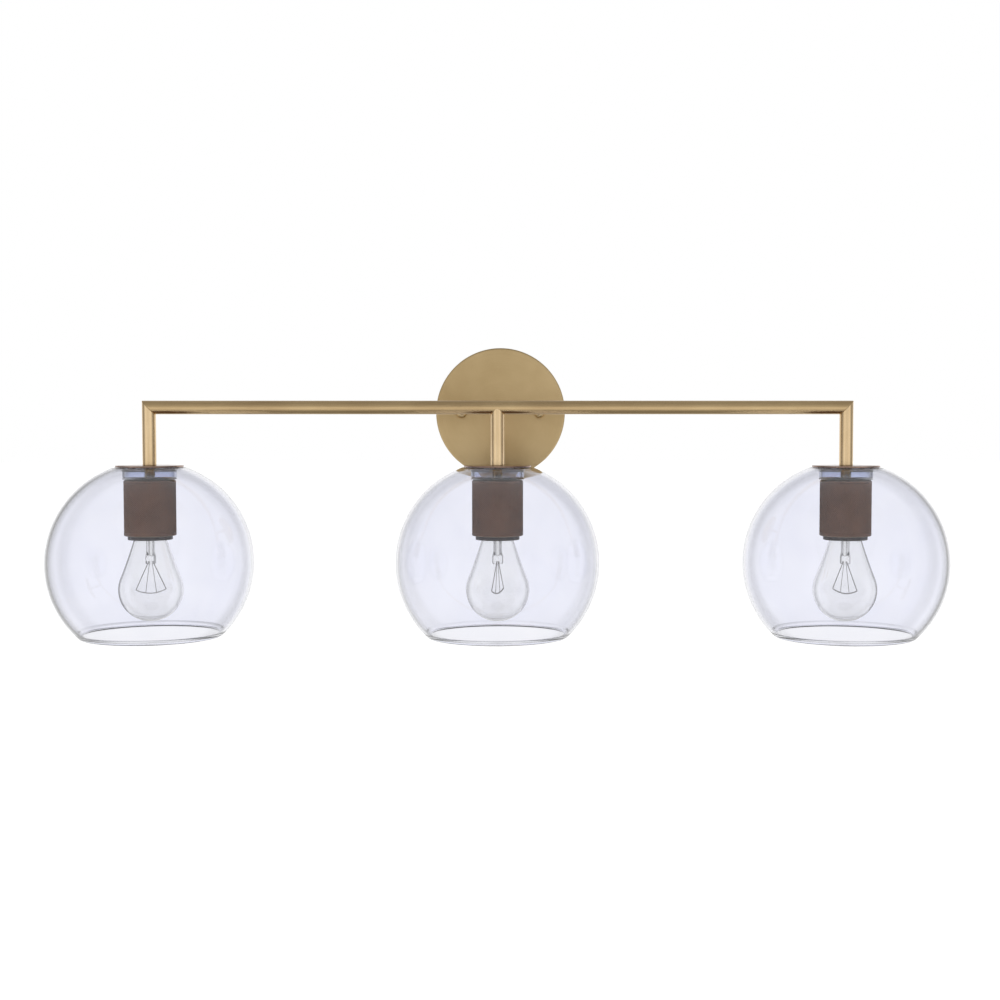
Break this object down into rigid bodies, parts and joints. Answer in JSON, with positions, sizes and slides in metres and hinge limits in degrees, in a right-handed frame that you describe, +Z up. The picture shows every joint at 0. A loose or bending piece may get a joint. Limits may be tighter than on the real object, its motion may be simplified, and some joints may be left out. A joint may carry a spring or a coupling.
{
  "type": "vanity light bar",
  "caption": "Wall-mounted vanity light bar: a round backplate and a level brass tube carrying clear glass globes open below, each clamped by a knurled sleeve round a screw-in bulb.",
  "frame": {"origin": "on the wall plane, behind the centre of the round backplate", "axes": "+X along the bar to the viewer's right, +Y into the wall, +Z up"},
  "size_m": [0.843, 0.2155, 0.2755],
  "materials": {
    "antique_brass": "fine circular and lengthwise brushing under a satin lacquer",
    "tan_brass": "satin",
    "yellow_brass": "machined",
    "dark_bronze": "oil-rubbed bronze, diamond knurled",
    "dark_bronze_polished": "polished dark bronze",
    "zinc_steel": "zinc plated",
    "green_enamel": "gloss",
    "black_phenolic": "moulded",
    "silicone": "matte",
    "globe_glass": "clear, blown",
    "bulb_glass": "clear",
    "black_glass": "gloss",
    "bulb_cap_metal": "satin nickel",
    "tungsten": "drawn wire",
    "lead_insulation": "extruded"
  },
  "bodies": {
    "root": {"wall_bracket": "zinc_steel", "backplate": "antique_brass", "canopy_stud_left": "zinc_steel", "canopy_stud_right": "zinc_steel", "ground_screw": "green_enamel", "arm": "tan_brass", "arm_nipple": "yellow_brass", "arm_washer": "zinc_steel", "arm_locknut": "yellow_brass", "crossbar": "antique_brass", "drop_tube_left": "tan_brass", "cap_disc_left": "dark_bronze_polished", "nipple_left": "yellow_brass", "nipple_nut_left": "yellow_brass", "socket_body_left": "black_phenolic", "screw_shell_left": "yellow_brass", "centre_contact_left": "yellow_brass", "lead_pair_left": "lead_insulation", "drop_tube_centre": "tan_brass", "cap_disc_centre": "dark_bronze_polished", "nipple_centre": "yellow_brass", "nipple_nut_centre": "yellow_brass", "socket_body_centre": "black_phenolic", "screw_shell_centre": "yellow_brass", "centre_contact_centre": "yellow_brass", "lead_pair_centre": "lead_insulation", "drop_tube_right": "tan_brass", "cap_disc_right": "dark_bronze_polished", "nipple_right": "yellow_brass", "nipple_nut_right": "yellow_brass", "socket_body_right": "black_phenolic", "screw_shell_right": "yellow_brass", "centre_contact_right": "yellow_brass", "lead_pair_right": "lead_insulation"},
    "shade_left": {"glass_shade_left": "globe_glass", "shade_gasket_left": "silicone"},
    "sleeve_left": {"knurled_sleeve_left": "dark_bronze"},
    "bulb_tip_left": {"bulb_insulator_left": "black_glass"},
    "bulb_left": {"bulb_cap_left": "bulb_cap_metal", "bulb_glass_left": "bulb_glass", "bulb_stem_left": "bulb_glass", "bulb_filament_left": "tungsten"},
    "shade_centre": {"glass_shade_centre": "globe_glass", "shade_gasket_centre": "silicone"},
    "sleeve_centre": {"knurled_sleeve_centre": "dark_bronze"},
    "bulb_tip_centre": {"bulb_insulator_centre": "black_glass"},
    "bulb_centre": {"bulb_cap_centre": "bulb_cap_metal", "bulb_glass_centre": "bulb_glass", "bulb_stem_centre": "bulb_glass", "bulb_filament_centre": "tungsten"},
    "shade_right": {"glass_shade_right": "globe_glass", "shade_gasket_right": "silicone"},
    "sleeve_right": {"knurled_sleeve_right": "dark_bronze"},
    "bulb_tip_right": {"bulb_insulator_right": "black_glass"},
    "bulb_right": {"bulb_cap_right": "bulb_cap_metal", "bulb_glass_right": "bulb_glass", "bulb_stem_right": "bulb_glass", "bulb_filament_right": "tungsten"},
    "cap_nut_left": {"cap_nut_left": "antique_brass"},
    "cap_nut_right": {"cap_nut_right": "antique_brass"}
  },
  "joints": [
    {"name": "shade_left_lower", "type": "slide", "parent": "root", "child": "shade_left", "axis": [0, 0, -1], "range_m": [0, 0.012]},
    {"name": "sleeve_left_turn", "type": "hinge", "parent": "shade_left", "child": "sleeve_left", "pos_m": [-0.326, -0.12, -0.09], "axis": [0, 0, -1], "range_deg": [0, 2160]},
    {"name": "bulb_left_travel", "type": "slide", "parent": "root", "child": "bulb_tip_left", "axis": [0, 0, -1], "range_m": [0, 0.0145]},
    {"name": "bulb_left_turn", "type": "hinge", "parent": "bulb_tip_left", "child": "bulb_left", "pos_m": [-0.326, -0.12, -0.15], "axis": [0, 0, -1], "range_deg": [0, 1440]},
    {"name": "shade_centre_lower", "type": "slide", "parent": "root", "child": "shade_centre", "axis": [0, 0, -1], "range_m": [0, 0.012]},
    {"name": "sleeve_centre_turn", "type": "hinge", "parent": "shade_centre", "child": "sleeve_centre", "pos_m": [0, -0.12, -0.09], "axis": [0, 0, -1], "range_deg": [0, 2160]},
    {"name": "bulb_centre_travel", "type": "slide", "parent": "root", "child": "bulb_tip_centre", "axis": [0, 0, -1], "range_m": [0, 0.0145]},
    {"name": "bulb_centre_turn", "type": "hinge", "parent": "bulb_tip_centre", "child": "bulb_centre", "pos_m": [0, -0.12, -0.15], "axis": [0, 0, -1], "range_deg": [0, 1440]},
    {"name": "shade_right_lower", "type": "slide", "parent": "root", "child": "shade_right", "axis": [0, 0, -1], "range_m": [0, 0.012]},
    {"name": "sleeve_right_turn", "type": "hinge", "parent": "shade_right", "child": "sleeve_right", "pos_m": [0.326, -0.12, -0.09], "axis": [0, 0, -1], "range_deg": [0, 2160]},
    {"name": "bulb_right_travel", "type": "slide", "parent": "root", "child": "bulb_tip_right", "axis": [0, 0, -1], "range_m": [0, 0.0145]},
    {"name": "bulb_right_turn", "type": "hinge", "parent": "bulb_tip_right", "child": "bulb_right", "pos_m": [0.326, -0.12, -0.15], "axis": [0, 0, -1], "range_deg": [0, 1440]},
    {"name": "cap_nut_left_turn", "type": "hinge", "parent": "root", "child": "cap_nut_left", "pos_m": [-0.039, -0.0225, 0], "axis": [0, -1, 0], "range_deg": [0, 2160]},
    {"name": "cap_nut_right_turn", "type": "hinge", "parent": "root", "child": "cap_nut_right", "pos_m": [0.039, -0.0225, 0], "axis": [0, -1, 0], "range_deg": [0, 2160]}
  ],
  "couplings": [
    {"joint": "sleeve_left_turn", "follows": "shade_left_lower", "rad_per_m": 3141.6},
    {"joint": "bulb_left_turn", "follows": "bulb_left_travel", "rad_per_m": 1731.4},
    {"joint": "sleeve_centre_turn", "follows": "shade_centre_lower", "rad_per_m": 3141.6},
    {"joint": "bulb_centre_turn", "follows": "bulb_centre_travel", "rad_per_m": 1731.4},
    {"joint": "sleeve_right_turn", "follows": "shade_right_lower", "rad_per_m": 3141.6},
    {"joint": "bulb_right_turn", "follows": "bulb_right_travel", "rad_per_m": 1731.4}
  ]
}
